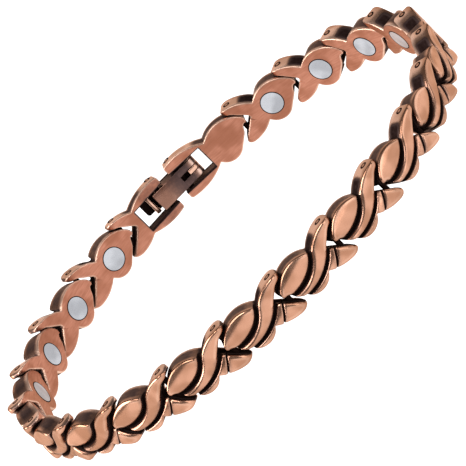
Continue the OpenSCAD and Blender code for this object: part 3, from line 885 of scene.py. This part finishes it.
places = np.concatenate([
    columns(arm_end, fork_start, 0.09, 0.3),
    columns(fork_start, fixed_end, 0.09, plain_corner),
    [fixed_slot_start],
])
places = np.unique(np.round(places, 5))
fixed_local, fixed_faces, fixed_rim, fixed_wall, fixed_inside = plain_link(
    places, (fixed_top, fixed_foot), (fixed_low, fixed_high), (fork_start, fixed_slot_start), 20)
fixed_local = rounded_arms(fixed_local)

# Its walls: dark in the slot, in the arms' fork and below as painted shade, light on top of the arms as a
# painted sheen, and brown over the waist. Its faces are painted dark beside the slot, and the inner face is
# painted browner towards the blade, as shade.
wall_along, wall_across = fixed_wall.T
in_slot = (wall_along > fixed_slot_start - 0.1) & (abs(wall_across - slot_middle) < slot_half + 0.05)
to_fork = np.minimum(abs(wall_across - fork_over(wall_along)), abs(wall_across - fork_under(wall_along)))
in_fork = (wall_along < fork_apex[0] + 0.1) & (to_fork < 0.1)
on_top_wall = wall_across > above_slot
fixed_wall_film_and_shade = np.where(
    on_top_wall, 0.05 + 0.65 * eased(wall_along, 1.1, 2.0) - 0.5 * eased(wall_along, 4.2, 5.6), 0.8)
fixed_wall_film_and_shade = np.where(in_fork, 0.95, np.where(in_slot, 0.72, fixed_wall_film_and_shade))
fixed_plan = fixed_local[:len(fixed_rim), [0, 2]]
fixed_face = np.maximum(slot_edge_shade(fixed_plan, fixed_slot_start - fixed_plan[:, 0]), 0.1 * fixed_rim)
fixed_inner_shade = np.maximum(fixed_face, 0.28 * eased(fixed_plan[:, 0], 2.8, 4.6))
fixed = metal_piece("end_link_b_casting", set_on_span(link_count + 1, fixed_local), fixed_faces, {
    "patina_and_shade": np.concatenate([fixed_face, fixed_inner_shade, fixed_wall_film_and_shade]),
    "brushed": fixed_inside,
    "wear_and_sheen": np.concatenate([fixed_rim, fixed_rim, 0.45 * on_top_wall * (1 - fixed_wall_film_and_shade)]),
    "place": fixed_local,
}, link_copper)
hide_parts("end_link_b")
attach(fixed, "band")

# The clasp, folded and rolled from copper-plated sheet: a blade that is fixed on one link's pin and takes
# the other's in its slots, a cover that closes over the blade and snaps behind its end, and the rivet that
# the cover turns on. The blade's flat, stamped on the real piece, is left plain.
sheet_copper = plate_finish(
    "sheet copper", polish=(0.3, 0.16, 0.12), bright=(0.34, 0.18, 0.13), worn_and_sheen=(0.85, 0.6, 0.5))
# The rounded edges of the sheet take a lighter copper: the bare metal of the edge, with a painted highlight
# along it
bare_edge_and_highlight = plate_finish(
    "bare edge and highlight", polish=(0.6, 0.34, 0.25), bright=(0.6, 0.34, 0.25), worn_and_sheen=(0.95, 0.68, 0.55))
clasp_way = (pins[0] - pins[-1]) / np.hypot(*(pins[0] - pins[-1]))


def sheet_piece(name, node, rides, bevel, metal, film, wear_and_sheen):
    """A copy of a sheet part with its points merged and its flats made whole, cut across every half
    millimetre and its edges rounded. film and wear_and_sheen give how dark and how light each point is, from
    along and out in millimetres from the clasp's pin."""
    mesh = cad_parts[node].data.copy()
    mesh.name = name
    shape = bmesh.new()
    shape.from_mesh(mesh)
    bmesh.ops.remove_doubles(shape, verts=shape.verts, dist=1e-6)
    bmesh.ops.dissolve_limit(shape, angle_limit=np.radians(1), verts=shape.verts, edges=shape.edges)
    sharp = [edge for edge in shape.edges if edge.is_manifold and edge.calc_face_angle() > np.radians(40)]
    bmesh.ops.bevel(shape, geom=sharp, offset=bevel, segments=2, profile=0.5, affect="EDGES", material=1)
    for step in np.arange(-3, 6.1, 0.5):
        at = np.append((pins[-1] + step * clasp_way) / 1000, 0)
        bmesh.ops.bisect_plane(
            shape, geom=[*shape.verts, *shape.edges, *shape.faces], plane_co=at, plane_no=(*clasp_way, 0))
    shape.to_mesh(mesh)
    shape.free()
    mesh.materials.clear()
    mesh.materials.append(metal)
    mesh.materials.append(bare_edge_and_highlight)
    places = np.array([point.co for point in mesh.vertices]) * 1000
    from_pin = places[:, :2] - pins[-1]
    along, out = from_pin @ clasp_way, from_pin @ np.array([-clasp_way[1], clasp_way[0]])
    give_values(mesh, {
        "patina_and_shade": film(along, out),
        "brushed": np.full_like(along, 0.3),
        "wear_and_sheen": wear_and_sheen(along, out),
        "place": np.column_stack([along, out, places[:, 2] - middle_line]),
    })
    mesh.shade_smooth()
    mesh.set_sharp_from_angle(angle=np.radians(35))
    piece = bpy.data.objects.new(name, mesh)
    bpy.context.scene.collection.objects.link(piece)
    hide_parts(node)
    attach(piece, rides)
    return piece


def blade_darkness(along, out):
    """Copper at the fixed end, darker along the flat and on the flanges, and much less dark round the rolled
    end as a painted highlight.
    """
    film = 0.05 + 0.5 * eased(along, -0.6, 3.2) + 0.3 * eased(out, -0.9, -0.5)
    return film * (1 - 0.85 * eased(along, 4.7, 5.3))


def knuckle_highlight(along, out):
    """A painted highlight round the rolled end."""
    return eased(along, 4.9, 5.5) * (1 - eased(out, -0.9, -0.2))


def cover_inside_shade(along, out):
    """Black inside the cover and its catch as painted shade; left bare on the outside, the catch's lip and
    the tongue.
    """
    return eased(out, 0.2, 0.35) * (1 - eased(out, 0.92, 1.0)) * (1 - eased(along, 3.8, 4.2))


def cover_inner_sheen(along, out):
    """Lighter along the edges towards the wrist, a painted highlight, and not towards the outside."""
    return 0.6 - 0.6 * eased(out, 0.3, 0.8)


def rivet_film(along, out):
    """Evenly brown."""
    return np.full_like(along, 0.4)


blade = sheet_piece(
    "clasp_blade_sheet", "clasp_blade", "band", 0.00008, sheet_copper, blade_darkness, knuckle_highlight)
cover = sheet_piece(
    "clasp_cover_sheet", "clasp_cover", "clasp_cover", 0.00006, link_copper, cover_inside_shade, cover_inner_sheen)
rivet = sheet_piece(
    "cover_pin_rivet", "cover_pin", "band", 0.00004, sheet_copper, rivet_film, knuckle_highlight)

# The floor, a wide pale sheet with a little light of its own, as a lit studio sweep has, in a pale room.
# Five soft boxes stand round the bracelet: the key at its left, one above, two at the right, one behind.
floor_mesh = bpy.data.meshes.new("pale_floor")
floor_mesh.from_pydata([(-3, -3, 0), (3, -3, 0), (3, 3, 0), (-3, 3, 0)], [], [(0, 1, 2, 3)])
floor = bpy.data.objects.new("pale_floor", floor_mesh)
bpy.context.scene.collection.objects.link(floor)
floor_paint = bpy.data.materials.new("pale floor")
floor_paint.use_nodes = True
floor_shader = floor_paint.node_tree.nodes["Principled BSDF"]
floor_shader.inputs["Base Color"].default_value = (0.12, 0.12, 0.12, 1)
floor_shader.inputs["Roughness"].default_value = 0.7
floor_shader.inputs["Emission Color"].default_value = (1, 1, 1, 1)
floor_shader.inputs["Emission Strength"].default_value = 1.25
floor_mesh.materials.append(floor_paint)

room = bpy.data.worlds.new("pale room")
room.use_nodes = True
room.node_tree.nodes["Background"].inputs["Color"].default_value = (1, 1, 1, 1)
room.node_tree.nodes["Background"].inputs["Strength"].default_value = 0.22
bpy.context.scene.world = room


def standing(right, up, away, place):
    """The matrix of an object at a place, with its own x, y and z turned to right, up and away."""
    return Matrix(np.vstack([np.column_stack([right, up, away, place]), (0, 0, 0, 1)]).tolist())


def soft_box(name, place, size, power):
    """A square soft box of light, facing the bracelet's middle: size in metres, power in watts."""
    light = bpy.data.lights.new(name, "AREA")
    light.shape = "SQUARE"
    light.size = size
    light.energy = power
    lamp = bpy.data.objects.new(name, light)
    away = np.array(place) / np.linalg.norm(place)
    right = np.cross((0.0, 0.0, 1.0), away)
    right = right / np.linalg.norm(right)
    up = np.cross(away, right)
    lamp.matrix_world = standing(right, up, away, place)
    bpy.context.scene.collection.objects.link(lamp)


soft_box("key_box", (-0.72, -0.1, 0.42), 0.5, 7.0)
soft_box("top_box", (-0.14, -0.42, 0.68), 0.4, 3.5)
soft_box("side_box", (0.58, -0.55, 0.26), 0.55, 2.2)
soft_box("right_box", (0.8, 0.22, 0.3), 0.6, 1.6)
soft_box("back_box", (-0.1, 0.9, 0.4), 0.9, 2.2)

# The camera, a long lens at the photograph's angle. Its right, down and forward ways and its place were
# found by matching the hinge pins and magnets to where the photograph shows them.
lens = bpy.data.cameras.new("long_lens")
lens.sensor_width = 36
lens.lens = 385.28
lens.clip_start = 0.05
camera = bpy.data.objects.new("long_lens", lens)
right = np.array([0.73056081, -0.1108207, -0.67379498])
down = np.array([-0.66209262, -0.35639156, -0.65925596])
forward = np.array([-0.16707564, 0.92774125, -0.33373927])
place = (0.09859905, -0.54686054, 0.19933019)
camera.matrix_world = standing(right, -down, -forward, place)
bpy.context.scene.collection.objects.link(camera)
bpy.context.scene.camera = camera
bpy.context.scene.view_settings.view_transform = "Standard"
